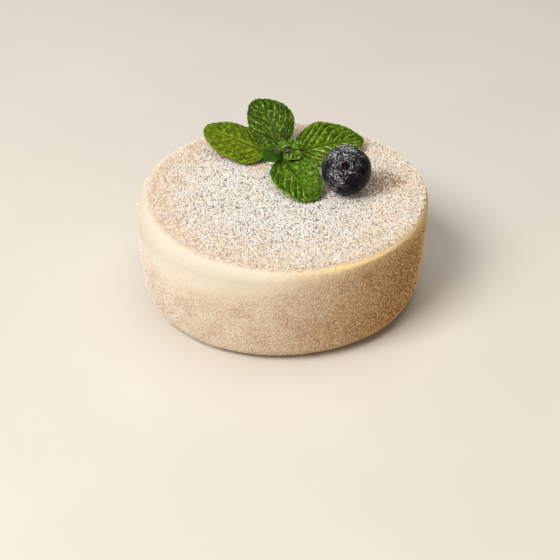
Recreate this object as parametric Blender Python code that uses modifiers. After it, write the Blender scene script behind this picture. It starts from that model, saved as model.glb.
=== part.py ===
"""A small jiggly cheesecake with a sprig of mint and a blueberry on top.

The cake is one plump round of baked cheese sponge that stands on a flat base. The sprig leans towards
the front: a stalk, two pairs of crossed leaves, a little side leaf and two small leaves at its tip.
The origin is on the ground under the middle of the cake, +Z is up and the front faces -Y.
"""

from math import cos, hypot, pi, radians, sin, tan

import bmesh
import bpy
from mathutils import Matrix, Vector

MM = 0.001

# The gap that keeps touching pieces apart
GAP = 0.3 * MM

# Cake
CAKE_RADIUS = 41 * MM
CAKE_HEIGHT = 31 * MM
SIDE_TAPER = 0.045
SIDE_BULGE = 0.35 * MM
TOP_ROUND = 3.2 * MM
TOP_ROUND_SWING = 1.6 * MM
SOFTEST_EDGE = radians(200)
BASE_ROUND = 6 * MM
TOP_SAG = 0.35 * MM
TOP_WAVE = 0.22 * MM
CAKE_SIDES = 72
BASE_STEPS = 5
SIDE_STEPS = 4
TOP_STEPS = 7
TOP_RING_SHARES = (0.82, 0.62, 0.42, 0.22, 0.06)

# Blueberry, whose axis runs from its stalk end to its crown
BERRY_SPOT = Vector((17.8, -1.1)) * MM
BERRY_RADIUS = 7.1 * MM
BERRY_HALF_HEIGHT = 6.4 * MM
BERRY_HEADING = radians(-95)
BERRY_PITCH = radians(40)
BERRY_SIDES = 40
BERRY_LATITUDES = range(-80, 52, 12)
CROWN_RADIUS = 2.5 * MM
CROWN_LOBE = 1.35 * MM
CROWN_RISE = 0.4 * MM
CROWN_LOBES = 5
CUP_RADIUS = 1.55 * MM
CUP_DEPTH = 1.2 * MM

# Mint sprig: where its lower leaves join the stalk, and how it leans
SPRIG_SPOT = Vector((-0.2, 14.3)) * MM
SPRIG_RISE = 1.9 * MM
SPRIG_LEAN = radians(30)
STALK_RADIUS = 0.65 * MM
UPPER_PAIR_RISE = 1.9 * MM
TIP_RISE = 3.3 * MM
BUD_RISE = 4.9 * MM
LEAF_THICKNESS = 0.5 * MM
EDGE_WAVES = 2.5
EDGE_WAVE = 0.025

# Each leaf's heading, pitch and roll in degrees, and its length and width in millimetres. stalk is the
# share of the length that is bare stalk and widest the share of the blade where it is widest. Smaller
# base and tip powers make the blade's two ends rounder. bow lifts the middle of the midrib, curl drops
# its tip, sway bends it sideways and cup drops the rims, all in millimetres. fold raises both halves, in
# degrees, and rise is how far up the stalk the leaf sits.
LEAVES = {
    "mint_leaf_left": dict(
        heading=155.0, pitch=12.0, roll=-17.8, length=23.9, width=13.6, stalk=0.14, widest=0.37, base=0.46,
        tip=0.42, bow=-0.35, curl=0.8, sway=-0.1, cup=0.65, fold=-0.5, rise=0),
    "mint_leaf_right": dict(
        heading=21.2, pitch=3.5, roll=25.2, length=24.9, width=15.7, stalk=0.14, widest=0.44, base=0.42,
        tip=0.67, bow=1.05, curl=1.2, sway=0.3, cup=0.85, fold=11.4, rise=0),
    "mint_leaf_back": dict(
        heading=118.5, pitch=30.9, roll=-31.0, length=19.0, width=14.0, stalk=0.06, widest=0.44, base=0.46,
        tip=0.53, bow=0.9, curl=1.0, sway=-1.7, cup=1.55, fold=4.7, rise=UPPER_PAIR_RISE),
    "mint_leaf_front": dict(
        heading=-67.0, pitch=-6.4, roll=9.3, length=21.1, width=13.6, stalk=0.06, widest=0.44, base=0.36,
        tip=0.39, bow=1.6, curl=0.4, sway=-0.55, cup=-0.6, fold=-5, rise=UPPER_PAIR_RISE),
    "mint_leaf_side": dict(
        heading=227, pitch=0, roll=-6, length=5.8, width=5.8, stalk=0.06, widest=0.45, base=0.50,
        tip=0.85, bow=0.3, curl=0.3, sway=-0.3, cup=0.5, fold=6, rise=TIP_RISE),
    "mint_tip_leaf_front": dict(
        heading=-40, pitch=8, roll=2, length=6.0, width=6.2, stalk=0.06, widest=0.52, base=0.45,
        tip=0.55, bow=0.5, curl=0.3, sway=0, cup=0.3, fold=12, rise=TIP_RISE),
    "mint_tip_leaf_back": dict(
        heading=24, pitch=10, roll=-2, length=5.2, width=5.6, stalk=0.06, widest=0.52, base=0.45,
        tip=0.60, bow=0.5, curl=0.3, sway=0, cup=0.3, fold=10, rise=BUD_RISE),
}
BIG_LEAF_GRID = (20, 10)
SMALL_LEAF_GRID = (10, 6)
SMALL_LEAF_LENGTH = 8

CAKE_COLOUR = (0.87, 0.74, 0.52, 1)
MINT_COLOUR = (0.08, 0.26, 0.03, 1)
STALK_COLOUR = (0.16, 0.12, 0.05, 1)
BERRY_COLOUR = (0.016, 0.018, 0.035, 1)


def clear_scene():
    for obj in list(bpy.data.objects):
        bpy.data.objects.remove(obj)


def make_material(name, colour, roughness):
    material = bpy.data.materials.new(name)
    material.use_nodes = True
    shader = material.node_tree.nodes["Principled BSDF"]
    shader.inputs["Base Color"].default_value = colour
    shader.inputs["Roughness"].default_value = roughness
    shader.inputs["Metallic"].default_value = 0
    return material


def add_object(name, data, collection, material):
    obj = bpy.data.objects.new(name, data)
    collection.objects.link(obj)
    data.materials.append(material)
    return obj


def loft(name, rings):
    """A closed mesh through rings of equally many points, with both end rings filled."""
    shape = bmesh.new()
    loops = [[shape.verts.new(point) for point in ring] for ring in rings]
    for lower, upper in zip(loops, loops[1:]):
        for i, start in enumerate(lower):
            j = (i + 1) % len(lower)
            shape.faces.new((start, lower[j], upper[j], upper[i]))
    shape.faces.new(loops[0][::-1])
    shape.faces.new(loops[-1])
    mesh = bpy.data.meshes.new(name)
    shape.to_mesh(mesh)
    shape.free()
    mesh.shade_smooth()
    mesh.set_sharp_from_angle(angle=radians(50))
    return mesh


def wobble(angle):
    """How far out the uneven side stands at this angle, as a share of the radius."""
    return 1 + 0.006 * sin(2 * angle + 0.6) + 0.004 * sin(3 * angle + 2.1) + 0.002 * sin(5 * angle)


def top_height(x, y):
    """Height of the cake's top at a point inside its rounded edge."""
    out = min(1, hypot(x, y) / CAKE_RADIUS)
    wave = sin(x / (11 * MM) + 0.7) * cos(y / (13 * MM) - 0.4)
    return CAKE_HEIGHT - TOP_SAG * (1 - out) ** 2 + TOP_WAVE * wave * (1 - out ** 4)


def cake_section(angle):
    """The cake's outline at one angle, from the flat base to the middle of the top, as (radius, height)."""
    widest = CAKE_RADIUS * wobble(angle)
    top_round = TOP_ROUND + TOP_ROUND_SWING * cos(angle - SOFTEST_EDGE)
    side_top = CAKE_HEIGHT - top_round
    foot = widest - SIDE_TAPER * (side_top - BASE_ROUND)
    inner = widest - top_round

    section = [(foot - BASE_ROUND, 0)]
    for step in range(1, BASE_STEPS + 1):
        turn = pi / 2 * step / BASE_STEPS
        section.append((foot - BASE_ROUND * (1 - sin(turn)), BASE_ROUND * (1 - cos(turn))))
    for step in range(1, SIDE_STEPS + 1):
        up = step / SIDE_STEPS
        radius = foot + (widest - foot) * up + SIDE_BULGE * sin(pi * up)
        section.append((radius, BASE_ROUND + (side_top - BASE_ROUND) * up))
    for step in range(1, TOP_STEPS + 1):
        turn = pi / 2 * step / TOP_STEPS
        section.append((inner + top_round * cos(turn), side_top + top_round * sin(turn)))
    for share in TOP_RING_SHARES:
        radius = inner * share
        section.append((radius, top_height(radius * cos(angle), radius * sin(angle))))
    return section


def make_cake(collection, material):
    angles = [2 * pi * i / CAKE_SIDES for i in range(CAKE_SIDES)]
    sections = [cake_section(angle) for angle in angles]
    rings = [
        [Vector((r * cos(angle), r * sin(angle), z)) for angle, (r, z) in zip(angles, ring)]
        for ring in zip(*sections)
    ]
    points = [point for ring in rings for point in ring]
    middle = Vector([(min(p[i] for p in points) + max(p[i] for p in points)) / 2 for i in range(2)])
    for point in points:
        point.xy -= middle
    return add_object("cheesecake", loft("cheesecake", rings), collection, material)


def berry_ring(radius, height, lobe=0.0, lift=0.0):
    """A ring of points round +Z, pushed out by lobe and up by lift where the crown's lobes are."""
    points = []
    for i in range(BERRY_SIDES):
        angle = 2 * pi * i / BERRY_SIDES
        share = ((1 + cos(CROWN_LOBES * angle)) / 2) ** 1.4
        reach = radius + lobe * share
        points.append(Vector((reach * cos(angle), reach * sin(angle), height + lift * share)))
    return points


def make_berry(collection, material):
    """A flattened round berry with a low five-lobed crown round a small cup, which faces the front."""
    rings = []
    for latitude in BERRY_LATITUDES:
        turn = radians(latitude)
        rings.append(berry_ring(BERRY_RADIUS * cos(turn), BERRY_HALF_HEIGHT * sin(turn)))
    brim = 0.93 * BERRY_HALF_HEIGHT
    rings += [
        berry_ring(CROWN_RADIUS + 0.25 * MM, brim - 0.15 * MM, CROWN_LOBE, -0.3 * MM),
        berry_ring(CROWN_RADIUS + 0.1 * MM, brim + 0.6 * CROWN_RISE, CROWN_LOBE, -0.1 * MM),
        berry_ring(CROWN_RADIUS - 0.3 * MM, brim + CROWN_RISE, 0.8 * CROWN_LOBE),
        berry_ring(CUP_RADIUS + 0.1 * MM, brim + 0.5 * CROWN_RISE, 0.3 * CROWN_LOBE),
        berry_ring(CUP_RADIUS - 0.3 * MM, BERRY_HALF_HEIGHT - 0.8 * CUP_DEPTH),
        berry_ring(0.45 * CUP_RADIUS, BERRY_HALF_HEIGHT - CUP_DEPTH),
        berry_ring(0.2 * CUP_RADIUS, BERRY_HALF_HEIGHT - 0.85 * CUP_DEPTH),
    ]
    berry = add_object("blueberry", loft("blueberry", rings), collection, material)
    axis = direction(BERRY_HEADING, BERRY_PITCH)
    turned = aimed(axis, 0) @ Matrix.Rotation(pi / 2, 4, "Y")
    lowest = min((turned @ vertex.co).z for vertex in berry.data.vertices)
    height = top_height(*BERRY_SPOT) + GAP - lowest
    berry.matrix_world = Matrix.Translation((*BERRY_SPOT, height)) @ turned
    return berry


def direction(heading, pitch):
    return Vector((cos(heading) * cos(pitch), sin(heading) * cos(pitch), sin(pitch)))


def aimed(along, roll):
    """Axes whose +X runs along the given way, and whose +Y is level before it is rolled about +X."""
    x = along.normalized()
    y = Vector((0, 0, 1)).cross(x).normalized()
    z = x.cross(y)
    return Matrix((x, y, z)).transposed().to_4x4() @ Matrix.Rotation(roll, 4, "X")


def leaf_half_width(leaf, s):
    """Half the leaf's width at share s of its length: a thin stalk, then an egg-shaped blade."""
    stalk_half = 0.45 * MM if leaf["length"] > SMALL_LEAF_LENGTH else 0.3 * MM
    if s <= leaf["stalk"]:
        return stalk_half
    along = (s - leaf["stalk"]) / (1 - leaf["stalk"])
    widest = leaf["widest"]
    if along < widest:
        blade = sin(pi / 2 * along / widest) ** leaf["base"]
    else:
        blade = max(0, cos(pi / 2 * (along - widest) / (1 - widest))) ** leaf["tip"]
    return max(stalk_half, leaf["width"] / 2 * MM * blade)


def leaf_point(leaf, s, t):
    """A point midway through the leaf: s runs from its stalk to its tip, and t from edge to edge."""
    half = leaf_half_width(leaf, s)
    spread = half / (leaf["width"] / 2 * MM)
    arch = 4 * s * (1 - s)
    midrib = (leaf["bow"] * arch - leaf["curl"] * s ** 3) * MM
    folded = abs(t) * half * tan(radians(leaf["fold"]))
    cupped = leaf["cup"] * MM * t * t * spread
    side = 0 if t > 0 else 2
    waved = EDGE_WAVE * leaf["width"] * MM * t * t * spread * sin(2 * pi * EDGE_WAVES * s + side)
    sideways = t * half + leaf["sway"] * arch * MM
    return Vector((s * leaf["length"] * MM, sideways, midrib + folded - cupped + waved))


def make_leaf(name, leaf, frame, collection, material):
    """A thin wavy leaf: a grid of triangles bent to the leaf's shape, then thickened."""
    steps_along, steps_across = BIG_LEAF_GRID if leaf["length"] > SMALL_LEAF_LENGTH else SMALL_LEAF_GRID
    shape = bmesh.new()
    bmesh.ops.create_grid(shape, x_segments=steps_along, y_segments=steps_across, size=0.5)
    bmesh.ops.triangulate(shape, faces=shape.faces)
    for vertex in shape.verts:
        vertex.co = leaf_point(leaf, vertex.co.x + 0.5, 2 * vertex.co.y)
    mesh = bpy.data.meshes.new(name)
    shape.to_mesh(mesh)
    shape.free()
    mesh.shade_smooth()
    obj = add_object(name, mesh, collection, material)
    obj.matrix_world = frame
    thickness = obj.modifiers.new("Thickness", "SOLIDIFY")
    thickness.thickness = LEAF_THICKNESS
    thickness.offset = 0
    return obj


def sprig_point(rise):
    """A point on the stalk's line, this far above where the lower leaves join it."""
    start = Vector((*SPRIG_SPOT, CAKE_HEIGHT + SPRIG_RISE))
    return start + Matrix.Rotation(SPRIG_LEAN, 3, "X") @ Vector((0, 0, rise))


def make_stalk(collection, material):
    """A tapering stalk that stands on the cake and ends under the rosette of tip leaves."""
    foot_height = 2 * GAP + STALK_RADIUS * sin(SPRIG_LEAN)
    foot = -(SPRIG_RISE - foot_height) / cos(SPRIG_LEAN)
    curve = bpy.data.curves.new("mint_stalk", "CURVE")
    curve.dimensions = "3D"
    curve.bevel_depth = STALK_RADIUS
    curve.bevel_resolution = 2
    curve.use_fill_caps = True
    spline = curve.splines.new("POLY")
    shares = (0, 0.35, 0.7, 1)
    spline.points.add(len(shares) - 1)
    for point, share in zip(spline.points, shares):
        point.co = (*sprig_point(foot + (BUD_RISE - foot) * share), 1)
        point.radius = 1 - 0.35 * share
    return add_object("mint_stalk", curve, collection, material)


def make_sprig(collection, leaf_material, stalk_material):
    make_stalk(collection, stalk_material)
    clear_of_stalk = STALK_RADIUS + 1.5 * GAP
    for name, leaf in LEAVES.items():
        heading, pitch, roll = (radians(leaf[key]) for key in ("heading", "pitch", "roll"))
        start = sprig_point(leaf["rise"]) + direction(heading, 0) * clear_of_stalk
        frame = Matrix.Translation(start) @ aimed(direction(heading, pitch), roll)
        make_leaf(name, leaf, frame, collection, leaf_material)


def main():
    clear_scene()
    collection = bpy.data.collections.new("jiggly_cheesecake")
    bpy.context.scene.collection.children.link(collection)
    make_cake(collection, make_material("cheesecake", CAKE_COLOUR, 0.8))
    make_berry(collection, make_material("blueberry", BERRY_COLOUR, 0.5))
    mint = make_material("mint", MINT_COLOUR, 0.45)
    make_sprig(collection, mint, make_material("stalk", STALK_COLOUR, 0.6))


main()
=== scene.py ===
"""The looks of a small jiggly cheesecake with a sprig of mint and a blueberry on top."""

from math import asin, atan2, cos, degrees, hypot, pi, radians, sin, sqrt, tan

import bpy
import numpy as np
from mathutils import Matrix, Vector, noise
from mathutils.bvhtree import BVHTree


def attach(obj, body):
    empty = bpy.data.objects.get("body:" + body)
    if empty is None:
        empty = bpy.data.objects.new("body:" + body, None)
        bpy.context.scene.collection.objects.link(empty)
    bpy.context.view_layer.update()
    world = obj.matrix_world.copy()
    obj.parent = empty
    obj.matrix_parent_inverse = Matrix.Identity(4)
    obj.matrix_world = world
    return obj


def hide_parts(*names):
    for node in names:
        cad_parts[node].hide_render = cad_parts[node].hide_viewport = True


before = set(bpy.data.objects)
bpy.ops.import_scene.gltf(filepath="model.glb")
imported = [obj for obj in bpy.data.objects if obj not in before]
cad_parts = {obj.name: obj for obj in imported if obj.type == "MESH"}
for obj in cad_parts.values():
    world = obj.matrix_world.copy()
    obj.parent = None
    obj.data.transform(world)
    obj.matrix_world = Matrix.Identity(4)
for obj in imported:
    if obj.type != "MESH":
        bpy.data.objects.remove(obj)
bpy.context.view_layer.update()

MM = 0.001
BODY = "root"

# Cake, as in the solid model
CAKE_RADIUS = 41 * MM
CAKE_HEIGHT = 31 * MM
SIDE_TAPER = 0.045
SIDE_BULGE = 0.35 * MM
TOP_ROUND = 3.2 * MM
TOP_ROUND_SWING = 1.6 * MM
SOFTEST_EDGE = radians(200)
BASE_ROUND = 6 * MM
TOP_SAG = 0.35 * MM
TOP_WAVE = 0.22 * MM

# How far the visible skin lies inside the solid, to leave room for the grains on it
SKIN_DEPTH = 0.37 * MM

# Where the side is palest with powder, the side facing the key lamp, so its paleness is partly painted
# light, and where its top edge is smoothest and how far round that reaches
PALEST_SIDE_HEADING = radians(215)
SMOOTH_HEADING = radians(214)
SMOOTH_SPREAD = 0.92

# Patches of the top where little sugar lies: middle and half its length and width, in millimetres. The
# patch beside the berry is also painted darker as the berry's shadow.
BARE_AND_SHADED_BESIDE_BERRY = (27.3, 5.0, 8.2, 6.6)
UNDER_LEAF = (-7.2, 13.0, 4.4, 2.6)

# Sugar grains on the top: spacing, smallest and largest size in millimetres, and how many spaces hold one
TOP_SUGAR = {"sugar_on_top": (0.50, 0.46, 0.74, 1.05), "sugar_dust": (0.40, 0.22, 0.40, 0.75)}

# Sugar grains on the side: smallest and largest size in millimetres, and how far out they sit, in sizes
SIDE_SUGAR = {"sugar_on_side": (0.26, 0.46, 0.15), "fine_sugar_on_side": (0.18, 0.30, 0.25)}
SIDE_SUGAR_TRIES = 22000

# Crumbs of sugar on the berry: heading and pitch of a group, its spread in degrees, and how many crumbs
BERRY_SUGAR = ((95, 52, 16, 16), (225, -14, 14, 12), (200, 30, 40, 14))

# Berry, as in the solid model
BERRY_SPOT = Vector((17.8, -1.1)) * MM
BERRY_RADIUS = 7.1 * MM
BERRY_HALF_HEIGHT = 6.4 * MM
BERRY_HEADING = radians(-95)
BERRY_PITCH = radians(40)
GAP = 0.3 * MM
CROWN_LOBES = 5
CROWN_RADIUS = 2.5 * MM
CROWN_LOBE = 1.35 * MM
CUP_RADIUS = 1.55 * MM

# Mint sprig, as in the solid model
SPRIG_SPOT = Vector((-0.2, 14.3)) * MM
SPRIG_RISE = 1.9 * MM
SPRIG_LEAN = radians(30)
STALK_RADIUS = 0.65 * MM
UPPER_PAIR_RISE = 1.9 * MM
TIP_RISE = 3.3 * MM
BUD_RISE = 4.9 * MM
STALK_CLEARANCE = STALK_RADIUS + 0.45 * MM
BUD_CLEARANCE = 0.25 * MM
EDGE_WAVES = 2.5
EDGE_WAVE = 0.025

# Fineness of the visible meshes
CAKE_SIDES = 520
SIDE_STEPS = 52
BASE_STEPS = 16
TOP_ROUND_STEPS = 16
TOP_RINGS = 80
FLOOR_RINGS = 24
BERRY_SIDES = 220
BERRY_BODY_RINGS = 64
BERRY_CAP_RINGS = 84
BERRY_CAP_RADIUS = 5 * MM
LEAF_STEPS = (176, 100)
SMALL_LEAF_STEPS = (84, 56)
STALK_SIDES = 28
STALK_RINGS = 60

# Camera: where the photograph was taken from, round the middle of the cake's top
CAMERA_ELEVATION = radians(35)
CAMERA_DISTANCE = 393 * MM
CAMERA_OFFSET = Vector((-0.6, -25.4)) * MM
CAMERA_LENS = 90
CAMERA_SENSOR = 36

# Lights: heading and height in degrees, distance and width in metres, power in watts, colour
LIGHTS = {
    "key": (221, 50, 0.9, 0.45, 8.2, (1.0, 0.98, 0.95)),
    "fill": (-82, 30, 1.2, 0.9, 2.3, (1.0, 0.83, 0.60)),
    "top": (60, 76, 1.0, 0.8, 3.8, (1.0, 0.98, 0.96)),
}
SURROUNDINGS = (1.0, 0.95, 0.88, 1)
SURROUNDINGS_STRENGTH = 0.11
FLOOR_HALF_WIDTH = 3.0


def smooth_step(value, low, high):
    """0 below low, 1 above high, and a smooth rise between them."""
    share = np.clip((np.asarray(value, float) - low) / (high - low), 0, 1)
    return share * share * (3 - 2 * share)


def noise_at(points, size, octaves=3, seed=0.0):
    """Smooth noise round 0 at each point, with features of about this size."""
    shift = Vector((17.3, 5.1, 9.7)) * seed
    return np.array([noise.fractal(Vector(p) / size + shift, 0.7, 2.0, octaves) for p in points])


def add_mesh(name, points, faces, smooth=True):
    """A mesh object from arrays of points and of faces."""
    mesh = bpy.data.meshes.new(name)
    face_list = faces if isinstance(faces, list) else faces.tolist()
    mesh.from_pydata(np.asarray(points).tolist(), [], face_list)
    if smooth:
        mesh.shade_smooth()
    obj = bpy.data.objects.new(name, mesh)
    bpy.context.scene.collection.objects.link(obj)
    return obj


def add_values(obj, name, values):
    """Stores one number for each point of the mesh, for its material to read."""
    attribute = obj.data.attributes.new(name, "FLOAT", "POINT")
    attribute.data.foreach_set("value", np.asarray(values, np.float32))


def mesh_normals(obj):
    normals = np.empty(len(obj.data.vertices) * 3, np.float32)
    obj.data.vertex_normals.foreach_get("vector", normals)
    return normals.reshape(-1, 3)


def mesh_points(obj):
    points = np.empty(len(obj.data.vertices) * 3, np.float32)
    obj.data.vertices.foreach_get("co", points)
    return points.reshape(-1, 3)


def set_points(obj, points):
    obj.data.vertices.foreach_set("co", np.asarray(points, np.float32).ravel())
    obj.data.update()


def place(obj, node):
    """The piece rides on the body and, where it stands for a solid, hides that solid."""
    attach(obj, BODY)
    if node:
        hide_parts(node)


# Materials


# The mix node's sockets for colours
MIX_FIRST, MIX_SECOND = 6, 7
MIX_RESULT = 2

# The screen's colour curve is a straight line up to this share
DARKEST_CURVED = 0.04045


def new_material(name, **settings):
    """A node material, its node tree and its shader, with the shader's fixed values set."""
    material = bpy.data.materials.new(name)
    material.use_nodes = True
    shader = material.node_tree.nodes["Principled BSDF"]
    for key, value in settings.items():
        shader.inputs[key.replace("_", " ")].default_value = value
    return material, material.node_tree, shader


def add_node(tree, kind, inputs=None, **settings):
    """Adds a node, sets its properties, and links or sets its inputs by name or number."""
    node = tree.nodes.new(kind)
    for key, value in settings.items():
        setattr(node, key, value)
    for key, value in (inputs or {}).items():
        if isinstance(value, bpy.types.NodeSocket):
            tree.links.new(value, node.inputs[key])
        else:
            node.inputs[key].default_value = value
    return node


def rgb(red, green, blue):
    """A colour as seen on a screen, 0 to 255, as the linear colour that a shader takes."""
    shares = [value / 255 for value in (red, green, blue)]
    return (*(((c + 0.055) / 1.055) ** 2.4 if c > DARKEST_CURVED else c / 12.92 for c in shares), 1)


def read_values(tree, name):
    return add_node(tree, "ShaderNodeAttribute", attribute_name=name).outputs["Fac"]


def object_noise(tree, size, detail=3.0, roughness=0.55):
    """Noise over the object with features of about this size."""
    coordinates = add_node(tree, "ShaderNodeTexCoord").outputs["Object"]
    inputs = {"Vector": coordinates, "Scale": 1 / size, "Detail": detail, "Roughness": roughness}
    return add_node(tree, "ShaderNodeTexNoise", inputs).outputs["Fac"]


def stretch(tree, value, low, high, to_low=0.0, to_high=1.0):
    """Maps the value's range smoothly onto another."""
    inputs = {"Value": value, "From Min": low, "From Max": high, "To Min": to_low, "To Max": to_high}
    return add_node(tree, "ShaderNodeMapRange", inputs, interpolation_type="SMOOTHSTEP").outputs["Result"]


def multiply(tree, first, second):
    return add_node(tree, "ShaderNodeMath", {0: first, 1: second}, operation="MULTIPLY").outputs[0]


def mix_colour(tree, share, first, second):
    inputs = {"Factor": share, MIX_FIRST: first, MIX_SECOND: second}
    return add_node(tree, "ShaderNodeMix", inputs, data_type="RGBA").outputs[MIX_RESULT]


def add_bump(tree, shader, height, depth):
    """Fine relief of this depth, in metres."""
    bump = add_node(tree, "ShaderNodeBump", {"Height": height, "Strength": 1.0, "Distance": depth})
    tree.links.new(bump.outputs["Normal"], shader.inputs["Normal"])


def cake_material():
    """Pale baked sponge, tan where bare and creamy under a powdered coat, with a film of sugar on top. The
    tan toward the shade, the deeper cream on the lit edge, the bright golden rim, the darker gaps between
    grains and the dark patch beside the berry are painted light and shade, some only in part.
    """
    material, tree, shader = new_material(
        "cheesecake", Roughness=0.7, Subsurface_Weight=0.25, Subsurface_Scale=0.0009,
        Subsurface_Radius=(1.0, 0.7, 0.42), Specular_IOR_Level=0.3)
    speckle = object_noise(tree, 0.42 * MM, 3.0, 0.65)
    blotches = object_noise(tree, 6 * MM, 3.0)
    powder_and_shade = multiply(tree, read_values(tree, "powder_and_shade"), stretch(tree, blotches, 0.25, 0.6, 0.6, 1.0))
    granules = multiply(tree, read_values(tree, "grain"), stretch(tree, speckle, 0.42, 0.62))

    # Golden tan where little powder lies, darkest on the shaded right: partly the sponge's own colour,
    # partly painted shade.
    sparse_granules = multiply(tree, read_values(tree, "grain"), stretch(tree, speckle, 0.49, 0.66))
    tan_sponge_and_shade = mix_colour(tree, sparse_granules, rgb(152, 92, 26), rgb(214, 148, 58))
    cream = mix_colour(tree, granules, rgb(214, 184, 148), rgb(255, 248, 232))
    sponge = mix_colour(tree, powder_and_shade, tan_sponge_and_shade, cream)
    smooth_skin = mix_colour(tree, read_values(tree, "powder_and_shade"), rgb(250, 208, 138), rgb(241, 232, 214))
    sponge = mix_colour(tree, read_values(tree, "band"), sponge, smooth_skin)
    # Golden rim on the sharp front edge: partly smooth skin, partly a painted highlight.
    sponge = mix_colour(tree, read_values(tree, "rim"), sponge, rgb(255, 232, 174))
    # Painted shade: a deeper cream on the rounded edge where the lamps fall hardest.
    sponge = mix_colour(tree, read_values(tree, "shoulder_shade"), sponge, rgb(214, 206, 186))
    peach = mix_colour(tree, stretch(tree, blotches, 0.35, 0.65), rgb(232, 210, 184), rgb(224, 196, 166))
    # Painted shadow of the berry, darkening the bare patch beside it.
    peach = mix_colour(tree, read_values(tree, "tan"), peach, rgb(160, 128, 102))
    sponge = mix_colour(tree, read_values(tree, "skin"), sponge, peach)
    # Painted shade in the gaps between the sugar grains, deepest toward the middle of the top.
    shaded_gaps = mix_colour(tree, read_values(tree, "middle"), rgb(154, 118, 94), rgb(88, 76, 74))
    gaps = mix_colour(tree, stretch(tree, speckle, 0.42, 0.58), shaded_gaps, rgb(226, 212, 198))
    sponge = mix_colour(tree, read_values(tree, "sugar"), sponge, gaps)
    tree.links.new(sponge, shader.inputs["Base Color"])
    add_bump(tree, shader, multiply(tree, speckle, read_values(tree, "grain")), 0.5 * MM)
    return material


def sugar_material():
    """Powdery sugar, white where it lies thick and golden where the sponge shows through; on the side the
    grains are also more golden away from the lamps, as painted warm shade.
    """
    material, tree, shader = new_material(
        "sugar", Roughness=0.5, Subsurface_Weight=0.2, Subsurface_Scale=0.0005,
        Subsurface_Radius=(1.0, 0.9, 0.8), Specular_IOR_Level=0.5)
    tone = stretch(tree, object_noise(tree, 2.5 * MM, 2.0), 0.35, 0.65, 0.0, 0.22)
    warmth = add_node(tree, "ShaderNodeMath", {0: read_values(tree, "warmth"), 1: tone}, operation="ADD")
    colour = mix_colour(tree, warmth.outputs[0], rgb(255, 254, 252), rgb(255, 218, 152))
    tree.links.new(colour, shader.inputs["Base Color"])
    add_bump(tree, shader, object_noise(tree, 0.12 * MM, 2.0), 0.06 * MM)
    return material


def leaf_material(name, blade, crest_highlight, groove_shade, petiole, roughness):
    """A quilted leaf: blade, pale crests with painted highlights, dark grooves with painted shade, and
    stalk each have their own colour.
    """
    material, tree, shader = new_material(
        name, Roughness=roughness, Subsurface_Weight=0.08, Subsurface_Scale=0.0006,
        Subsurface_Radius=(0.4, 1.0, 0.1), Specular_IOR_Level=0.3, Specular_Tint=(0.85, 1.0, 0.3, 1))
    patches = object_noise(tree, 1.6 * MM, 4.0, 0.65)
    light_blade = tuple(min(1, c * 1.35) for c in blade[:3])
    dark_blade = tuple(c * 0.62 for c in blade[:3])
    colour = mix_colour(tree, stretch(tree, patches, 0.37, 0.63), (*dark_blade, 1), (*light_blade, 1))
    # Painted highlights on the crests and cell tops, painted shade in the grooves, over partly real pale
    # and dark veins.
    colour = mix_colour(tree, read_values(tree, "crest_highlight"), colour, crest_highlight)
    colour = mix_colour(tree, read_values(tree, "groove_shade"), colour, groove_shade)
    colour = mix_colour(tree, read_values(tree, "petiole"), colour, petiole)
    tree.links.new(colour, shader.inputs["Base Color"])
    add_bump(tree, shader, object_noise(tree, 0.3 * MM, 3.0), 0.10 * MM)
    return material


def stalk_material():
    material, tree, shader = new_material("mint_stalk", Roughness=0.6, Subsurface_Weight=0.05,
                                          Subsurface_Scale=0.0005, Specular_IOR_Level=0.2)
    streaks = object_noise(tree, 0.9 * MM, 2.0)
    colour = mix_colour(tree, stretch(tree, streaks, 0.35, 0.65), rgb(34, 38, 12), rgb(44, 22, 14))
    tree.links.new(colour, shader.inputs["Base Color"])
    add_bump(tree, shader, object_noise(tree, 0.25 * MM, 2.0), 0.05 * MM)
    return material


def berry_material():
    """Nearly black skin under a patchy, speckled grey bloom, held back as painted shade on the lit far
    left and on the shaded lower right.
    """
    material, tree, shader = new_material("blueberry", Specular_IOR_Level=0.11)
    speckle = stretch(tree, object_noise(tree, 0.46 * MM, 4.0, 0.75), 0.515, 0.60)
    clouds = stretch(tree, object_noise(tree, 2.2 * MM, 3.0, 0.6), 0.42, 0.60)
    bloom_and_shade = multiply(tree, read_values(tree, "bloom_and_shade"), stretch(tree, clouds, 0.0, 1.0, 0.12, 1.0))
    dusty = multiply(tree, bloom_and_shade, stretch(tree, speckle, 0.0, 1.0, 0.06, 1.0))

    skin = mix_colour(tree, clouds, rgb(4, 4, 6), rgb(10, 10, 15))
    skin = mix_colour(tree, dusty, skin, rgb(222, 226, 236))
    flesh = mix_colour(tree, speckle, rgb(16, 9, 12), rgb(92, 52, 64))
    skin = mix_colour(tree, read_values(tree, "cup"), skin, flesh)
    # Painted shadow in the creases round the crown's lobes.
    skin = mix_colour(tree, read_values(tree, "shadowed_crease"), skin, rgb(8, 7, 9))
    skin = mix_colour(tree, read_values(tree, "brim"), skin, rgb(200, 188, 194))
    tree.links.new(skin, shader.inputs["Base Color"])
    tree.links.new(stretch(tree, dusty, 0.0, 0.5, 0.30, 0.7), shader.inputs["Roughness"])
    add_bump(tree, shader, object_noise(tree, 0.45 * MM, 4.0, 0.65), 0.14 * MM)
    return material


def floor_material():
    material, tree, shader = new_material("floor", Roughness=0.85, Specular_IOR_Level=0.2)
    mottle = stretch(tree, object_noise(tree, 60 * MM, 2.0), 0.3, 0.7)
    colour = mix_colour(tree, mottle, (0.70, 0.66, 0.60, 1), (0.72, 0.68, 0.62, 1))
    tree.links.new(colour, shader.inputs["Base Color"])
    return material


# Cake


def wobble(angle):
    """How far out the uneven side stands at this angle, as a share of the radius."""
    return 1 + 0.006 * sin(2 * angle + 0.6) + 0.004 * sin(3 * angle + 2.1) + 0.002 * sin(5 * angle)


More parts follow.
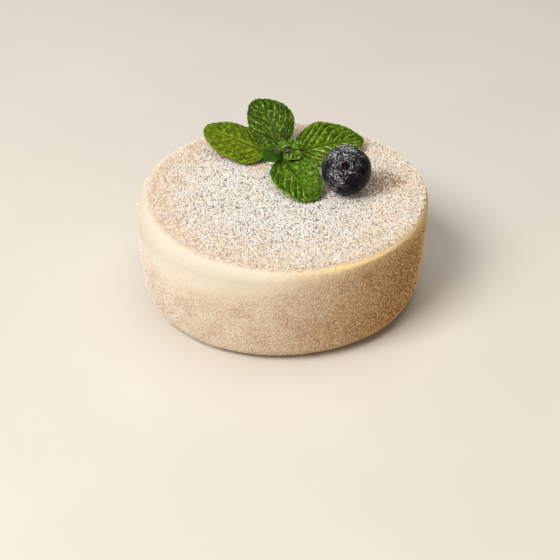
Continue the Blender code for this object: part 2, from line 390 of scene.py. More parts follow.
def top_height(x, y):
    """Height of the cake's top at a point inside its rounded edge."""
    out = min(1, hypot(x, y) / CAKE_RADIUS)
    wave = sin(x / (11 * MM) + 0.7) * cos(y / (13 * MM) - 0.4)
    return CAKE_HEIGHT - TOP_SAG * (1 - out) ** 2 + TOP_WAVE * wave * (1 - out ** 4)


def cake_section(angle):
    """The outline at one angle, from the middle of the base to the middle of the top."""
    widest = CAKE_RADIUS * wobble(angle)
    top_round = TOP_ROUND + TOP_ROUND_SWING * cos(angle - SOFTEST_EDGE)
    side_top = CAKE_HEIGHT - top_round
    foot = widest - SIDE_TAPER * (side_top - BASE_ROUND)
    inner = widest - top_round

    section = []
    for step in range(1, FLOOR_RINGS + 1):
        section.append(((foot - BASE_ROUND) * step / FLOOR_RINGS, 0))
    for step in range(1, BASE_STEPS + 1):
        turn = pi / 2 * step / BASE_STEPS
        section.append((foot - BASE_ROUND * (1 - sin(turn)), BASE_ROUND * (1 - cos(turn))))
    for step in range(1, SIDE_STEPS + 1):
        up = step / SIDE_STEPS
        radius = foot + (widest - foot) * up + SIDE_BULGE * sin(pi * up)
        section.append((radius, BASE_ROUND + (side_top - BASE_ROUND) * up))
    for step in range(1, TOP_ROUND_STEPS + 1):
        turn = pi / 2 * step / TOP_ROUND_STEPS
        section.append((inner + top_round * cos(turn), side_top + top_round * sin(turn)))
    for step in range(1, TOP_RINGS):
        radius = inner * (1 - step / TOP_RINGS)
        section.append((radius, top_height(radius * cos(angle), radius * sin(angle))))
    return section


def ring_faces(rings, sides):
    """Four-sided faces between rings of points, and a fan of triangles to a last point at each end."""
    around = np.arange(sides)
    beside = (around + 1) % sides
    faces = []
    for ring in range(rings - 1):
        low, high = ring * sides, (ring + 1) * sides
        quads = np.stack([low + around, low + beside, high + beside, high + around], 1)
        faces += quads.tolist()
    first, last = rings * sides, rings * sides + 1
    end = (rings - 1) * sides
    faces += [[first, i, j] for i, j in zip(beside.tolist(), around.tolist())]
    faces += [[last, end + i, end + j] for i, j in zip(around.tolist(), beside.tolist())]
    return faces


def shoulder_turn(x, y):
    """How far round the top's rounded edge a point lies, in degrees from the flat top."""
    angle = atan2(y, x)
    top_round = TOP_ROUND + TOP_ROUND_SWING * cos(angle - SOFTEST_EDGE)
    inner = CAKE_RADIUS * wobble(angle) - top_round
    return degrees(asin(min(1, max(0, hypot(x, y) - inner) / top_round)))


def softness_at(angle):
    """How rounded and smooth the top's edge is at this angle, from 0 to 1."""
    turn = (angle - SMOOTH_HEADING + pi) % (2 * pi) - pi
    return np.maximum(0, np.cos(SMOOTH_SPREAD * turn))


def behind(angle):
    """How far round to the back this angle is, from 0 over the front to 1 behind."""
    return smooth_step(np.sin(angle), -0.38, 0.6)


def bare(patch, x, y):
    """How much of the sugar is missing at a point of a bare patch, from 0 to 1."""
    middle_x, middle_y, half_length, half_width = (value * MM for value in patch)
    out = hypot((x - middle_x) / half_length, (y - middle_y) / half_width)
    return 1 - float(smooth_step(out, 0.6, 1.3))


def dusting(x, y):
    """How thickly the top is dusted with sugar at a point, from 0 to 1."""
    angle = atan2(y, x)
    to_front = max(0, cos(angle - radians(-70))) ** 2
    to_left = max(0, cos(angle - radians(195))) ** 2
    ragged = noise.fractal(Vector((x, y, 0)) / (2.5 * MM), 0.8, 2.0, 3)
    limit = 26 + 16 * to_front - 16 * to_left + 24 * float(behind(angle)) + 7 * ragged
    thick = 1 - float(smooth_step(shoulder_turn(x, y), limit - 12, limit + 7 + 16 * to_left))
    outward = float(smooth_step(hypot(x, y), 22 * MM, 39 * MM))
    thick *= 1 - outward * (0.18 + 0.40 * max(0, cos(angle - radians(170))))
    return thick * (1 - 0.55 * bare(BARE_AND_SHADED_BESIDE_BERRY, x, y) - 0.7 * bare(UNDER_LEAF, x, y))


def cake_points():
    """Rings of points from the base to the top, then the middles of both, and the number of rings."""
    angles = [2 * pi * i / CAKE_SIDES for i in range(CAKE_SIDES)]
    sections = np.array([cake_section(angle) for angle in angles])
    turns = np.array(angles)[:, None]
    x = sections[:, :, 0] * np.cos(turns)
    y = sections[:, :, 0] * np.sin(turns)
    points = np.stack([x, y, sections[:, :, 1]], 2)
    middle = (points.reshape(-1, 3).min(0) + points.reshape(-1, 3).max(0)) / 2
    points[:, :, :2] -= middle[:2]
    rings = points.shape[1]
    points = points.transpose(1, 0, 2).reshape(-1, 3)
    ends = [(-middle[0], -middle[1], 0), (-middle[0], -middle[1], top_height(0, 0))]
    return np.vstack([points, ends]), rings


def cake_zones(points):
    """What the cake's skin is like at each point, painted light and shade among it: named shares from 0 to
    1, for its material to read.
    """
    heights = points[:, 2]
    heading = np.arctan2(points[:, 1], points[:, 0])
    back = behind(heading)
    softness = softness_at(heading)
    turns = np.array([shoulder_turn(x, y) for x, y in points[:, :2]])
    on_top = smooth_step(heights, CAKE_HEIGHT - 5.5 * MM, CAKE_HEIGHT - 4.5 * MM)
    flat = 1 - smooth_step(turns, 4, 40)

    # Smooth skin without crumb: a pale band under the soft edge, a golden rim where the edge is sharp, its
    # brightness partly a painted highlight
    below_top = (CAKE_HEIGHT - heights) / MM
    reach = smooth_step(below_top, 2 + 5 * softness ** 2, 3.5 + 15 * softness ** 2)
    band = (1 - flat) * (1 - reach) * softness
    rim = on_top * np.exp(-((turns - 54) / 30) ** 2) * smooth_step(1 - softness, 0.3, 0.8)
    rim *= (1 - 0.95 * back) ** 2
    # Painted shade on the rounded edge that faces the lamps, so that it is no brighter than the top
    upper_side = smooth_step(heights, CAKE_HEIGHT - 14 * MM, CAKE_HEIGHT - 3 * MM)
    shoulder_shade = np.exp(-((turns - 50) / np.where(turns < 50, 38, 75)) ** 2)
    shoulder_shade *= upper_side * smooth_step(softness, 0.5, 0.95)

    # Powder that makes the side creamy, thickest at the front left and thinner low down. It is laid toward
    # the lamps, so the pale lit front left and the darker tan of the shaded right are partly painted light
    # and shade.
    down_side = 1 - smooth_step(heights, 0.15 * CAKE_HEIGHT, 0.9 * CAKE_HEIGHT)
    facing = 0.5 + 0.5 * np.cos(heading - PALEST_SIDE_HEADING)
    powder_and_shade = np.clip(np.maximum(-0.46 + 1.84 * facing - 0.20 * down_side, 0.62 * back), 0, 1)

    return {
        "sugar": on_top * np.array([dusting(x, y) for x, y in points[:, :2]]),
        # Painted shadow of the berry on the bare patch beside it
        "tan": on_top * np.array([bare(BARE_AND_SHADED_BESIDE_BERRY, x, y) for x, y in points[:, :2]]),
        "skin": on_top * flat * (1 - band),
        # Where the painted shade between the sugar grains is deepest, toward the middle
        "middle": 1 - smooth_step(np.hypot(points[:, 0], points[:, 1]), 14 * MM, 38 * MM),
        "grain": np.clip(1 - 0.92 * np.maximum(band, rim), 0.06, 1),
        "powder_and_shade": powder_and_shade, "band": band, "rim": rim, "shoulder_shade": shoulder_shade,
    }


def cake_relief(points, zones):
    """How far each point moves out along its normal: slow swells, crumb, pores and a film of sugar."""
    swell = 0.20 * MM * noise_at(points, 13 * MM, 2, 1)
    crumb = 0.09 * MM * noise_at(points, 1.1 * MM, 3, 2) * zones["grain"]
    pores = -0.25 * MM * smooth_step(noise_at(points, 1.1 * MM, 2, 3), 0.45, 0.8) * zones["grain"]
    film = 0.12 * MM * noise_at(points, 0.9 * MM, 2, 4) * zones["sugar"]
    off_base = smooth_step(points[:, 2], 0.2 * MM, 3 * MM)
    shift = (np.clip(swell + crumb + pores, -0.5 * MM, 0.06 * MM) - SKIN_DEPTH) * off_base + film
    shift[points[:, 2] < 0.05 * MM] = 0
    return shift


def make_cake(material):
    points, rings = cake_points()
    cake = add_mesh("cheesecake_body", points, ring_faces(rings, CAKE_SIDES))
    zones = cake_zones(points)
    set_points(cake, points + mesh_normals(cake) * cake_relief(points, zones)[:, None])
    zones["sugar"] = zones["sugar"] ** 1.5
    zones["rim"] = 0.9 * zones["rim"]
    for name, values in zones.items():
        add_values(cake, name, values)
    cake.data.materials.append(material)
    place(cake, "cheesecake")
    return cake


# Grains


OCTAHEDRON = np.array([(1, 0, 0), (-1, 0, 0), (0, 1, 0), (0, -1, 0), (0, 0, 1), (0, 0, -1)], float)
OCTAHEDRON_FACES = np.array([
    (0, 2, 4), (2, 1, 4), (1, 3, 4), (3, 0, 4), (2, 0, 5), (1, 2, 5), (3, 1, 5), (0, 3, 5)])


def make_grains(name, spots, sizes, warmth, material, seed):
    """One mesh of small rough grains, each at its own spot, turned its own way and more or less warm."""
    chance = np.random.default_rng(seed)
    count = len(spots)
    turned, _ = np.linalg.qr(chance.normal(size=(count, 3, 3)))
    turned[np.linalg.det(turned) < 0] *= -1
    spread = np.asarray(sizes)[:, None, None] / 2 * chance.uniform(0.7, 1.25, (count, 6, 1))
    corners = np.einsum("nij,kj->nki", turned, OCTAHEDRON) * spread
    points = (corners + np.asarray(spots)[:, None, :]).reshape(-1, 3)
    faces = (OCTAHEDRON_FACES[None] + 6 * np.arange(count)[:, None, None]).reshape(-1, 3)
    grains = add_mesh(name, points, faces)
    add_values(grains, "warmth", np.repeat(np.asarray(warmth, float), 6))
    grains.data.materials.append(material)
    place(grains, None)
    return grains


def drop_spots(tree, places):
    """Where grains that fall straight down at these places land, and which way is out there."""
    landed = [tree.ray_cast(Vector((x, y, 0.1)), Vector((0, 0, -1))) for x, y in places]
    return [(spot, normal) for spot, normal, _, _ in landed if spot is not None]


def jittered_places(pitch, chance):
    """Places over the cake's top, one in each square of a grid."""
    steps = np.arange(-CAKE_RADIUS, CAKE_RADIUS, pitch)
    x, y = np.meshgrid(steps, steps)
    return np.stack([x.ravel(), y.ravel()], 1) + chance.uniform(-0.5, 0.5, (x.size, 2)) * pitch


def scatter_top_sugar(cake_tree, material):
    """Sugar on the top: coarse grains in clumps, and finer ones between them."""
    chance = np.random.default_rng(11)
    for name, (pitch, low, high, most) in TOP_SUGAR.items():
        places = jittered_places(pitch * MM, chance)
        density = np.array([dusting(x, y) for x, y in places])
        clumps = noise_at(np.column_stack([places, np.zeros(len(places))]), 1.1 * MM, 2, 7)
        kept = chance.uniform(size=len(places)) < density * most * (0.80 + 0.6 * clumps)
        landed = drop_spots(cake_tree, places[kept])
        sizes = chance.uniform(low, high, len(landed)) * MM
        spots = [spot + normal * size * 0.2 for (spot, normal), size in zip(landed, sizes)]
        warmth = [smooth_step(hypot(spot.x, spot.y), 18 * MM, 40 * MM) * 0.22 for spot in spots]
        make_grains(name, spots, sizes, warmth, material, 12)


def scatter_side_sugar(cake_tree, material):
    """Powder that clings to the side in two sizes, sparse on the smooth band at its top edge."""
    chance = np.random.default_rng(21)
    for name, (low, high, lift) in SIDE_SUGAR.items():
        spots = []
        sizes = []
        warmth = []
        for _ in range(SIDE_SUGAR_TRIES):
            angle, height, luck, size = chance.uniform(size=4) * (2 * pi, CAKE_HEIGHT - 3.4 * MM, 1, 1)
            outward = Vector((cos(angle), sin(angle), 0))
            start = outward * 2 * CAKE_RADIUS + Vector((0, 0, height + 1.8 * MM))
            spot, normal, _, _ = cake_tree.ray_cast(start, -outward)
            softness = softness_at(angle)
            smooth_band = softness * smooth_step(height, CAKE_HEIGHT - 16 * MM, CAKE_HEIGHT - 8 * MM)
            if spot is not None and luck > 0.97 * smooth_band:
                sizes.append((low + (high - low) * size ** 2) * MM)
                spots.append(spot + normal * sizes[-1] * lift)
                # Whiter on the lit soft side and more golden on the shaded right: partly the sponge
                # showing through, partly painted warm shade.
                warmth.append(0.95 - 0.8 * softness - 0.3 * float(behind(angle)))
        make_grains(name, spots, sizes, warmth, material, 22)


# Berry


def crown_reach(angle):
    """How far from the berry's axis the crown's points and notches lie at this angle."""
    share = ((1 + cos(CROWN_LOBES * angle)) / 2) ** 1.4
    return CROWN_RADIUS + CROWN_LOBE * share


def crown_relief(out, reach, ragged):
    """Height of the crown above the round berry, with shares of the creases painted dark as shadow, brim
    and cup, at each point.
    """
    rim = CUP_RADIUS * (0.82 + 0.14 * ragged)
    plate = 1 - smooth_step((out - reach) / MM, -0.35, 0.05)
    cup = 1 - smooth_step((out - rim) / MM, -0.45, 0.05)
    shadowed_crease = np.exp(-((out - reach - 0.12 * MM) / (0.20 * MM)) ** 2)
    brim = np.exp(-((out - rim) / (0.17 * MM)) ** 2)
    scar = np.exp(-(out / (0.42 * MM)) ** 2)
    lobe_edge = np.exp(-((out - reach + 0.25 * MM) / (0.16 * MM)) ** 2)
    height = (0.30 + 0.12 * ragged) * plate - 0.16 * shadowed_crease + 0.22 * brim - 1.15 * cup + 0.35 * scar
    broken = np.clip(0.35 + 2.2 * ragged, 0, 1)
    return height * MM, 0.9 * shadowed_crease, np.maximum(0.75 * brim, 0.95 * lobe_edge) * broken, cup


def berry_points():
    """Rings of points from the berry's foot to its crown, then both ends, and the number of rings."""
    last_latitude = np.arccos(BERRY_CAP_RADIUS / BERRY_RADIUS)
    rings = [(BERRY_RADIUS * cos(turn), BERRY_HALF_HEIGHT * sin(turn))
             for turn in np.linspace(radians(-88), last_latitude, BERRY_BODY_RINGS)]
    for radius in np.linspace(BERRY_CAP_RADIUS, 0, BERRY_CAP_RINGS + 2)[1:-1]:
        rings.append((radius, BERRY_HALF_HEIGHT * sqrt(1 - (radius / BERRY_RADIUS) ** 2)))
    turns = np.arange(BERRY_SIDES) * 2 * pi / BERRY_SIDES
    points = []
    for radius, height in rings:
        points += [(radius * cos(turn), radius * sin(turn), height) for turn in turns]
    points += [(0, 0, -BERRY_HALF_HEIGHT), (0, 0, BERRY_HALF_HEIGHT)]
    return np.array(points), len(rings)


def make_berry(material):
    points, rings = berry_points()
    out = np.hypot(points[:, 0], points[:, 1])
    ragged = noise_at(points * (1, 1, 0), 0.9 * MM, 3, 31)
    reach = np.array([crown_reach(atan2(y, x)) for x, y in points[:, :2]]) + 0.25 * MM * ragged
    above = points[:, 2] > 0
    height, shadowed_crease, brim, cup = (values * above for values in crown_relief(out, reach, ragged))
    points[:, 2] += height
    berry = add_mesh("blueberry_fruit", points, ring_faces(rings, BERRY_SIDES))
    dents = 0.10 * MM * noise_at(points, 4.5 * MM, 2, 32)
    dents += 0.035 * MM * noise_at(points, 0.8 * MM, 3, 33)
    points = points + mesh_normals(berry) * (np.minimum(dents, 0.12 * MM) - 0.14 * MM)[:, None]

    turned = aimed(direction(BERRY_HEADING, BERRY_PITCH), 0) @ Matrix.Rotation(pi / 2, 4, "Y")
    points = points @ np.array(turned.to_3x3()).T
    points += (*BERRY_SPOT, top_height(*BERRY_SPOT) + GAP - points[:, 2].min())
    set_points(berry, points)

    sideways, inward, upward = ((points - points.mean(0)) / BERRY_RADIUS).T
    # Less bloom on the lower right, partly bare skin and partly painted shade, and on the far left,
    # painted shade against the lamp's light.
    low_right_bare_and_shaded = smooth_step(0.70 * sideways - 0.15 * inward - 0.60 * upward, -0.16, 0.5)
    far_left_shade = smooth_step(-sideways, 0.4, 0.95)
    add_values(berry, "bloom_and_shade", (1 - 0.97 * low_right_bare_and_shaded) * (1 - 0.6 * far_left_shade))
    add_values(berry, "shadowed_crease", shadowed_crease)
    add_values(berry, "brim", brim)
    add_values(berry, "cup", cup)
    berry.data.materials.append(material)
    place(berry, "blueberry")
    return berry


def scatter_berry_sugar(berry, material):
    """A few crumbs of sugar caught on the berry's upper back and on its lower left."""
    chance = np.random.default_rng(61)
    tree = BVHTree.FromObject(berry, bpy.context.evaluated_depsgraph_get())
    points = mesh_points(berry)
    middle = Vector(points.mean(0))
    spots = []
    sizes = []
    for heading, pitch, spread, count in BERRY_SUGAR:
        for _ in range(count):
            turn, rise = chance.normal(size=2) * spread
            way = direction(radians(heading + turn), radians(pitch + 0.5 * rise))
            spot, normal, _, _ = tree.ray_cast(middle + way * 3 * BERRY_RADIUS, -way)
            sizes.append(chance.uniform(0.16, 0.34) * MM)
            spots.append(spot + normal * sizes[-1] * 0.2)
    make_grains("sugar_on_berry", spots, sizes, [0.0] * len(spots), material, 62)


# Leaves


def direction(heading, pitch):
    return Vector((cos(heading) * cos(pitch), sin(heading) * cos(pitch), sin(pitch)))


def aimed(along, roll):
    """Axes whose +X runs along the given way, and whose +Y is level before it is rolled about +X."""
    x = along.normalized()
    y = Vector((0, 0, 1)).cross(x).normalized()
    z = x.cross(y)
    return Matrix((x, y, z)).transposed().to_4x4() @ Matrix.Rotation(roll, 4, "X")


def sprig_point(rise):
    """A point on the stalk's line, this far above where the lower leaves join it."""
    start = Vector((*SPRIG_SPOT, CAKE_HEIGHT + SPRIG_RISE))
    return start + Matrix.Rotation(SPRIG_LEAN, 3, "X") @ Vector((0, 0, rise))


# Each leaf's shape is as in the solid model. Beyond it: the number of side veins on each half and how far
# they slant, the heights in millimetres to which the blade swells between veins (quilt) and between the
# finer net (pucker), the net's cell in millimetres, the number of teeth on each edge and how deep they are
# (notch), how much of the pale crests shows (shine), and a number that makes each leaf's pattern its own.
LEAVES = {
    "mint_leaf_left": dict(
        heading=155.0, pitch=12.0, roll=-17.8, length=23.9, width=13.6, stalk=0.14, widest=0.37, base=0.46,
        tip=0.42, bow=-0.35, curl=0.8, sway=-0.1, cup=0.65, fold=-0.5, rise=0,
        veins=6, slant=0.34, quilt=0.18, pucker=0.20, cell=1.5, teeth=13, seed=1),
    "mint_leaf_right": dict(
        heading=21.2, pitch=3.5, roll=25.2, length=24.9, width=15.7, stalk=0.14, widest=0.44, base=0.42,
        tip=0.67, bow=1.05, curl=1.2, sway=0.3, cup=0.85, fold=11.4, rise=0,
        veins=6, slant=0.42, quilt=0.34, pucker=0.20, cell=1.3, teeth=14, seed=2),
    "mint_leaf_back": dict(
        heading=118.5, pitch=30.9, roll=-31.0, length=19.0, width=14.0, stalk=0.06, widest=0.44, base=0.46,
        tip=0.53, bow=0.9, curl=1.0, sway=-1.7, cup=1.55, fold=4.7, rise=UPPER_PAIR_RISE,
        veins=5, slant=0.50, quilt=0.38, pucker=0.28, cell=1.4, teeth=12, seed=3),
    "mint_leaf_front": dict(
        heading=-67.0, pitch=-6.4, roll=9.3, length=21.1, width=13.6, stalk=0.06, widest=0.44, base=0.36,
        tip=0.39, bow=1.6, curl=0.4, sway=-0.55, cup=-0.6, fold=-5, rise=UPPER_PAIR_RISE,
        veins=5, slant=0.50, quilt=0.46, pucker=0.32, cell=1.5, teeth=11, seed=4),
    "mint_leaf_side": dict(
        heading=227, pitch=0, roll=-6, length=5.8, width=5.8, stalk=0.06, widest=0.45, base=0.50,
        tip=0.85, bow=0.3, curl=0.3, sway=-0.3, cup=0.5, fold=6, rise=TIP_RISE,
        veins=3, slant=0.40, quilt=0.05, pucker=0.04, cell=0.8, teeth=6, seed=5),
    "mint_tip_leaf_front": dict(
        heading=-40, pitch=8, roll=2, length=6.0, width=6.2, stalk=0.06, widest=0.52, base=0.45,
        tip=0.55, bow=0.5, curl=0.3, sway=0, cup=0.3, fold=12, rise=TIP_RISE,
        veins=3, slant=0.40, quilt=0.22, pucker=0.60, cell=1.3, teeth=6, notch=0.10, shine=0.9, seed=6),
    "mint_tip_leaf_back": dict(
        heading=24, pitch=10, roll=-2, length=5.2, width=5.6, stalk=0.06, widest=0.52, base=0.45,
        tip=0.60, bow=0.5, curl=0.3, sway=0, cup=0.3, fold=10, rise=BUD_RISE,
        veins=3, slant=0.40, quilt=0.22, pucker=0.60, cell=1.3, teeth=6, notch=0.10, shine=0.9, seed=7),
}

# The folded leaflets of the bud at the end of the stalk
BUD_LEAF = dict(
    roll=0, stalk=0.05, widest=0.5, base=0.45, tip=0.6, bow=0.3, curl=0.6, sway=0, cup=0.2, fold=24,
    rise=BUD_RISE, veins=3, slant=0.5, quilt=0.35, pucker=0.2, cell=0.6, teeth=5, notch=0.16, shine=1.3)
BUD_LEAVES = [
    dict(BUD_LEAF, heading=-20, pitch=48, length=3.0, width=3.2, seed=8),
    dict(BUD_LEAF, heading=75, pitch=40, length=2.8, width=2.8, seed=9),
    dict(BUD_LEAF, heading=-95, pitch=34, length=2.8, width=2.8, seed=10),
]

# Leaves up to this length, in millimetres, are the young ones
SMALL_LEAF_LENGTH = 8
SOLID_LEAF_THICKNESS = 0.5 * MM
LEAF_THICKNESS = 0.30 * MM
PETIOLE_OVERRUN = 0.75 * MM


def blade_width(leaf, s):
    """Half the leaf's width, in metres, at shares s of its length."""
    stalk_half = (0.45 if leaf["length"] > SMALL_LEAF_LENGTH else 0.3) * MM
    along = np.clip((s - leaf["stalk"]) / (1 - leaf["stalk"]), 0, 1)
    widest = leaf["widest"]
    lower = np.sin(pi / 2 * np.clip(along / widest, 0, 1)) ** leaf["base"]
    upper = np.cos(pi / 2 * np.clip((along - widest) / (1 - widest), 0, 1)) ** leaf["tip"]
    blade = np.where(along < widest, lower, upper)
    return np.maximum(stalk_half, leaf["width"] / 2 * MM * blade), along


def leaf_surface(leaf, s, t):
    """Points midway through the leaf, in its own axes, for shares s of its length and t across it."""
    half, along = blade_width(leaf, s)
    spread = half / (leaf["width"] / 2 * MM)
    saw = np.abs((along * leaf["teeth"]) % 1 - 0.35) / 0.65
    margin = 1 - leaf.get("notch", 0.03) * np.abs(t) ** 6 * saw * smooth_step(along, 0.08, 0.25)
    arch = 4 * s * (1 - s)
    midrib = (leaf["bow"] * arch - leaf["curl"] * np.abs(s) ** 3) * MM
    folded = np.abs(t) * half * tan(radians(leaf["fold"]))
    cupped = leaf["cup"] * MM * t * t * spread
    side = np.where(t > 0, 0.0, 2.0)
    waved = EDGE_WAVE * leaf["width"] * MM * t * t * spread * np.sin(2 * pi * EDGE_WAVES * s + side)
    sideways = t * half * margin + leaf["sway"] * arch * MM
    return np.stack([s * leaf["length"] * MM, sideways, midrib + folded - cupped + waved], -1)


def cell_edges(points, size):
    """How near each point is to the border between cells of about this size: 0 on it, 1 well inside."""
    gaps = []
    for point in points:
        near, _ = noise.voronoi(Vector(point) / size, distance_metric="DISTANCE", exponent=2.5)
        gaps.append(near[1] - near[0])
    return smooth_step(gaps, 0.03, 0.38)


def leaf_relief(leaf, s, t, middle):
    """How far the blade swells at each point, in metres, and its shares of crest with painted highlight
    and of groove with painted shade.
    """
    _, along = blade_width(leaf, s)
    across = np.abs(t)
    side = np.where(t > 0, 0.0, 0.35)
    flat = middle.reshape(-1, 3) * (1, 1, 0) + (0, 0, leaf["seed"] * 5 * MM)
    wander = noise_at(flat, 4 * MM, 2, 41).reshape(s.shape)
    fine = noise_at(flat, 0.8 * MM, 3, 42).reshape(s.shape)
    cells = cell_edges(flat, leaf["cell"] * MM).reshape(s.shape)
    rank = (along - leaf["slant"] * across ** 1.2) * (leaf["veins"] + 1.5) + side + 0.22 * wander
    step = rank - np.floor(rank)
    pillow = smooth_step(step, 0.0, 0.22) * (1 - 0.8 * smooth_step(step, 0.5, 1.0))
    to_vein = np.minimum(step, 1 - step)

    blade = smooth_step(along, 0.01, 0.12)
    fade = blade * (1 - 0.8 * smooth_step(across, 0.88, 1.0))
    off_midrib = smooth_step(across, 0.015, 0.14)
    swell = leaf["quilt"] * pillow * off_midrib + leaf["pucker"] * cells * (0.45 + 0.55 * pillow)
    swell = (swell * off_midrib + 0.05 * fine) * fade * MM
    inner = smooth_step(across, 0.04, 0.2) * (1 - 0.5 * smooth_step(across, 0.8, 1.0)) * blade
    patches = noise_at(flat, 2.6 * MM, 2, 43).reshape(s.shape)
    # Painted highlights on the crests beside the veins, on the tops of the net's cells and along the edge,
    # partly pale veins and margin.
    shown = np.clip(leaf.get("shine", 0.7) + 0.7 * fine + 0.8 * patches, 0, 1)
    crest_highlight = np.exp(-((step - 0.16) / 0.075) ** 2) * shown * inner
    cell_top_highlights = 0.24 * cells * smooth_step(fine + 0.3 * patches, 0.1, 0.5) * blade
    edge_highlight = 0.5 * smooth_step(across, 0.955, 0.99) * smooth_step(along, 0.03, 0.2)
    # Painted shade in the sunken veins, along the net between cells and down the midrib, partly darker
    # veins.
    groove_shade = np.exp(-(to_vein / 0.07) ** 2) * inner + 0.55 * (1 - cells) * inner
    midrib = np.exp(-(across / (0.028 + 0.025 * (1 - along))) ** 2) * blade
    crest_highlight = np.clip(np.maximum.reduce([crest_highlight, cell_top_highlights, edge_highlight]), 0, 1)
    return swell, crest_highlight, np.clip(groove_shade + 0.85 * midrib, 0, 1)


def sheet_faces(rows, columns):
    """Faces of a closed sheet: an upper grid of points, a lower one, and a rim that joins their edges."""
    index = np.arange(rows * columns).reshape(rows, columns)
    below = index + index.size
    over = np.stack([index[:-1, :-1], index[1:, :-1], index[1:, 1:], index[:-1, 1:]], -1)
    under = np.stack([below[:-1, :-1], below[:-1, 1:], below[1:, 1:], below[1:, :-1]], -1)
    outline = np.concatenate([index[:, 0][::-1], index[0, 1:], index[1:, -1], index[-1, -2:0:-1]])
    following = np.roll(outline, -1)
    around = np.stack([outline, following, following + index.size, outline + index.size], 1)
    return np.vstack([over.reshape(-1, 4), under.reshape(-1, 4), around])


def make_leaf(name, node, leaf, material):
    """A closed leaf with a quilted face, ribs under its veins, a toothed rim and a rounded stalk."""
    big = leaf["length"] > SMALL_LEAF_LENGTH
    count_s, count_t = LEAF_STEPS if big else SMALL_LEAF_STEPS
    start = -PETIOLE_OVERRUN / (leaf["length"] * MM)
    s, t = np.meshgrid(np.linspace(start, 1, count_s), np.linspace(-1, 1, count_t), indexing="ij")
    middle = leaf_surface(leaf, s, t)
    normal = np.cross(np.gradient(middle, axis=0), np.gradient(middle, axis=1))
    normal /= np.linalg.norm(normal, axis=2, keepdims=True) + 1e-12
    swell, crest_highlight, groove_shade = leaf_relief(leaf, s, t, middle)

    share = np.clip((s - leaf["stalk"]) / (1 - leaf["stalk"]), 0, 1)
    petiole = 1 - smooth_step(share, 0.0, 0.10)
    thick = LEAF_THICKNESS * (0.35 + 0.65 * np.sqrt(np.clip(1 - t ** 6, 0, 1))) * (1 if big else 0.8)
    round_stalk = (0.6 if big else 0.4) * MM * np.sqrt(np.clip(1 - t * t, 0, 1))
    thick = thick * (1 - petiole) + round_stalk * petiole
    rib = 0.35 * MM * np.exp(-(t / 0.07) ** 2) * (1 - share) * (1 - petiole)
    top = SOLID_LEAF_THICKNESS / 2 - (leaf["quilt"] + leaf["pucker"]) * 0.75 * MM + swell
    top = top * (1 - petiole) + thick / 2 * petiole
    upper = middle + normal * top[..., None]
    lower = middle + normal * (top - thick - 0.15 * swell - rib)[..., None]

    points = np.vstack([upper.reshape(-1, 3), lower.reshape(-1, 3)])
    obj = add_mesh(name, points, sheet_faces(count_s, count_t))
    heading, pitch, roll = (radians(leaf[key]) for key in ("heading", "pitch", "roll"))
    clearance = BUD_CLEARANCE if node == "mint_stalk" else STALK_CLEARANCE
    foot = sprig_point(leaf["rise"]) + direction(heading, 0) * clearance
    obj.data.transform(Matrix.Translation(foot) @ aimed(direction(heading, pitch), roll))
    stem = np.clip(petiole + 0.8 * (1 - smooth_step(share, 0.05, 0.3)) * np.exp(-(t / 0.08) ** 2), 0, 1)
    for key, values in (("crest_highlight", crest_highlight), ("groove_shade", groove_shade), ("petiole", 0.9 * stem)):
        add_values(obj, key, np.concatenate([values.ravel(), values.ravel()]))
    obj.data.materials.append(material)
    place(obj, node)
    return obj


def make_leaves():
    # Pale crest colour for the painted highlights, dark groove colour for the painted shade
    pale = rgb(200, 226, 110)
    dark = rgb(14, 32, 0)
    purple = rgb(36, 16, 10)
    green = rgb(78, 92, 26)
    materials = {
        "mint_leaf_left": leaf_material(
            "mint_left", rgb(98, 122, 4), rgb(142, 162, 36), rgb(40, 54, 0), green, 0.45),
        "mint_leaf_right": leaf_material("mint_right", rgb(94, 128, 10), pale, dark, green, 0.34),
        "mint_leaf_back": leaf_material("mint_back", rgb(50, 86, 0), pale, dark, purple, 0.34),
        "mint_leaf_front": leaf_material("mint_front", rgb(70, 112, 2), pale, dark, green, 0.30),
        # The small side leaf is painted darker, as it lies in shade
        "mint_leaf_side": leaf_material(
            "mint_side_shaded", rgb(36, 88, 0), rgb(56, 106, 6), rgb(22, 54, 0), green, 0.42),
        "mint_tip_leaf_front": leaf_material(
            "mint_tip", rgb(80, 128, 10), rgb(206, 232, 130), rgb(12, 30, 0), green, 0.30),
    }
    materials["mint_tip_leaf_back"] = materials["mint_tip_leaf_front"]
    for name, leaf in LEAVES.items():
        make_leaf(name + "_blade", name, leaf, materials[name])
    tip_material = materials["mint_tip_leaf_front"]
    for number, leaf in enumerate(BUD_LEAVES, 1):
        make_leaf(f"mint_bud_leaf_{number}", "mint_stalk", leaf, tip_material)


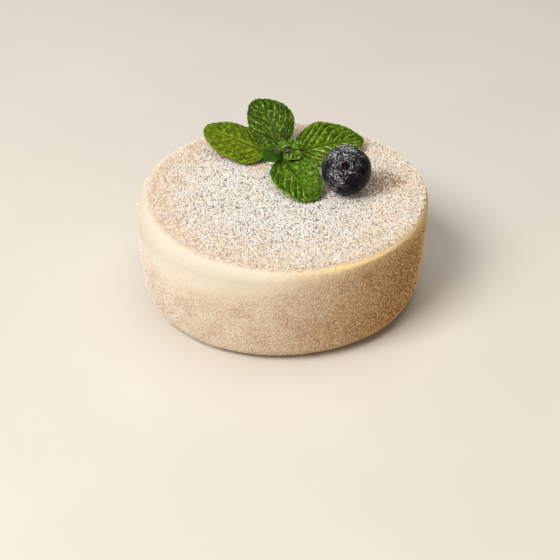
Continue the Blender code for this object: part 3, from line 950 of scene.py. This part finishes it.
def make_stalk(material):
    """A four-sided, knobbly stalk from the cake to the sprig's tip."""
    foot_height = 2 * GAP + STALK_RADIUS * sin(SPRIG_LEAN)
    foot = -(SPRIG_RISE - foot_height) / cos(SPRIG_LEAN)
    turned = np.array(Matrix.Rotation(SPRIG_LEAN, 3, "X"))
    points = []
    for share in np.linspace(0, 1, STALK_RINGS):
        rise = foot + (BUD_RISE - foot) * share
        centre = np.array(sprig_point(rise))
        lower_knot = np.exp(-(rise / (0.6 * MM)) ** 2)
        upper_knot = np.exp(-((rise - UPPER_PAIR_RISE) / (0.5 * MM)) ** 2)
        radius = STALK_RADIUS * (1 - 0.35 * share) * (0.95 + 0.12 * (lower_knot + upper_knot))
        for i in range(STALK_SIDES):
            turn = 2 * pi * i / STALK_SIDES
            square = 1 - 0.09 * cos(4 * turn)
            points.append(centre + turned @ (radius * square * np.array((cos(turn), sin(turn), 0))))
    low = np.array(sprig_point(foot))
    high = np.array(sprig_point(BUD_RISE + 0.2 * MM))
    points = np.vstack([points, [low, high]])
    stalk = add_mesh("mint_stalk_stem", points, ring_faces(STALK_RINGS, STALK_SIDES))
    shift = 0.04 * MM * noise_at(points, 0.8 * MM, 2, 51)
    set_points(stalk, points + mesh_normals(stalk) * shift[:, None])
    stalk.data.materials.append(material)
    place(stalk, "mint_stalk")


# Stage


def make_floor():
    """A wide pale floor that the cake stands on."""
    corner_signs = ((-1, -1), (1, -1), (1, 1), (-1, 1))
    points = [(x * FLOOR_HALF_WIDTH, y * FLOOR_HALF_WIDTH, 0) for x, y in corner_signs]
    floor = add_mesh("floor", points, [(0, 1, 2, 3)], smooth=False)
    floor.data.materials.append(floor_material())


def add_light(name, way, distance, size, power, colour):
    """A soft square light that shines at the cake from the given way."""
    data = bpy.data.lights.new(name, "AREA")
    data.size = size
    data.energy = power
    data.color = colour
    light = bpy.data.objects.new(name, data)
    bpy.context.scene.collection.objects.link(light)
    aim = Vector((0, 0, 0.8 * CAKE_HEIGHT))
    light.location = aim + way.normalized() * distance
    light.rotation_mode = "QUATERNION"
    light.rotation_quaternion = (-way).to_track_quat("-Z", "Y")


def make_lights():
    for name, (heading, height, distance, size, power, colour) in LIGHTS.items():
        add_light(name, direction(radians(heading), radians(height)), distance, size, power, colour)
    world = bpy.data.worlds.new("studio")
    world.use_nodes = True
    background = world.node_tree.nodes["Background"]
    background.inputs["Color"].default_value = SURROUNDINGS
    background.inputs["Strength"].default_value = SURROUNDINGS_STRENGTH
    bpy.context.scene.world = world


def make_camera():
    right = Vector((1, 0, 0))
    up = Vector((0, sin(CAMERA_ELEVATION), cos(CAMERA_ELEVATION)))
    back = Vector((0, -cos(CAMERA_ELEVATION), sin(CAMERA_ELEVATION)))
    data = bpy.data.cameras.new("camera")
    data.lens = CAMERA_LENS
    data.sensor_width = CAMERA_SENSOR
    data.clip_start = 0.01
    camera = bpy.data.objects.new("camera", data)
    bpy.context.scene.collection.objects.link(camera)
    centre = Vector((0, 0, CAKE_HEIGHT))
    spot = centre + back * CAMERA_DISTANCE + right * CAMERA_OFFSET.x + up * CAMERA_OFFSET.y
    camera.matrix_world = Matrix.Translation(spot) @ Matrix((right, up, back)).transposed().to_4x4()
    bpy.context.scene.camera = camera


def corners(box):
    return [list(corner) for corner in box]


def main():
    make_camera()
    make_lights()
    make_floor()

    cake = make_cake(cake_material())
    cake_tree = BVHTree.FromObject(cake, bpy.context.evaluated_depsgraph_get())
    sugar = sugar_material()
    scatter_top_sugar(cake_tree, sugar)
    scatter_side_sugar(cake_tree, sugar)
    scatter_berry_sugar(make_berry(berry_material()), sugar)
    make_leaves()
    make_stalk(stalk_material())

    bpy.context.scene.view_settings.view_transform = "Standard"


main()
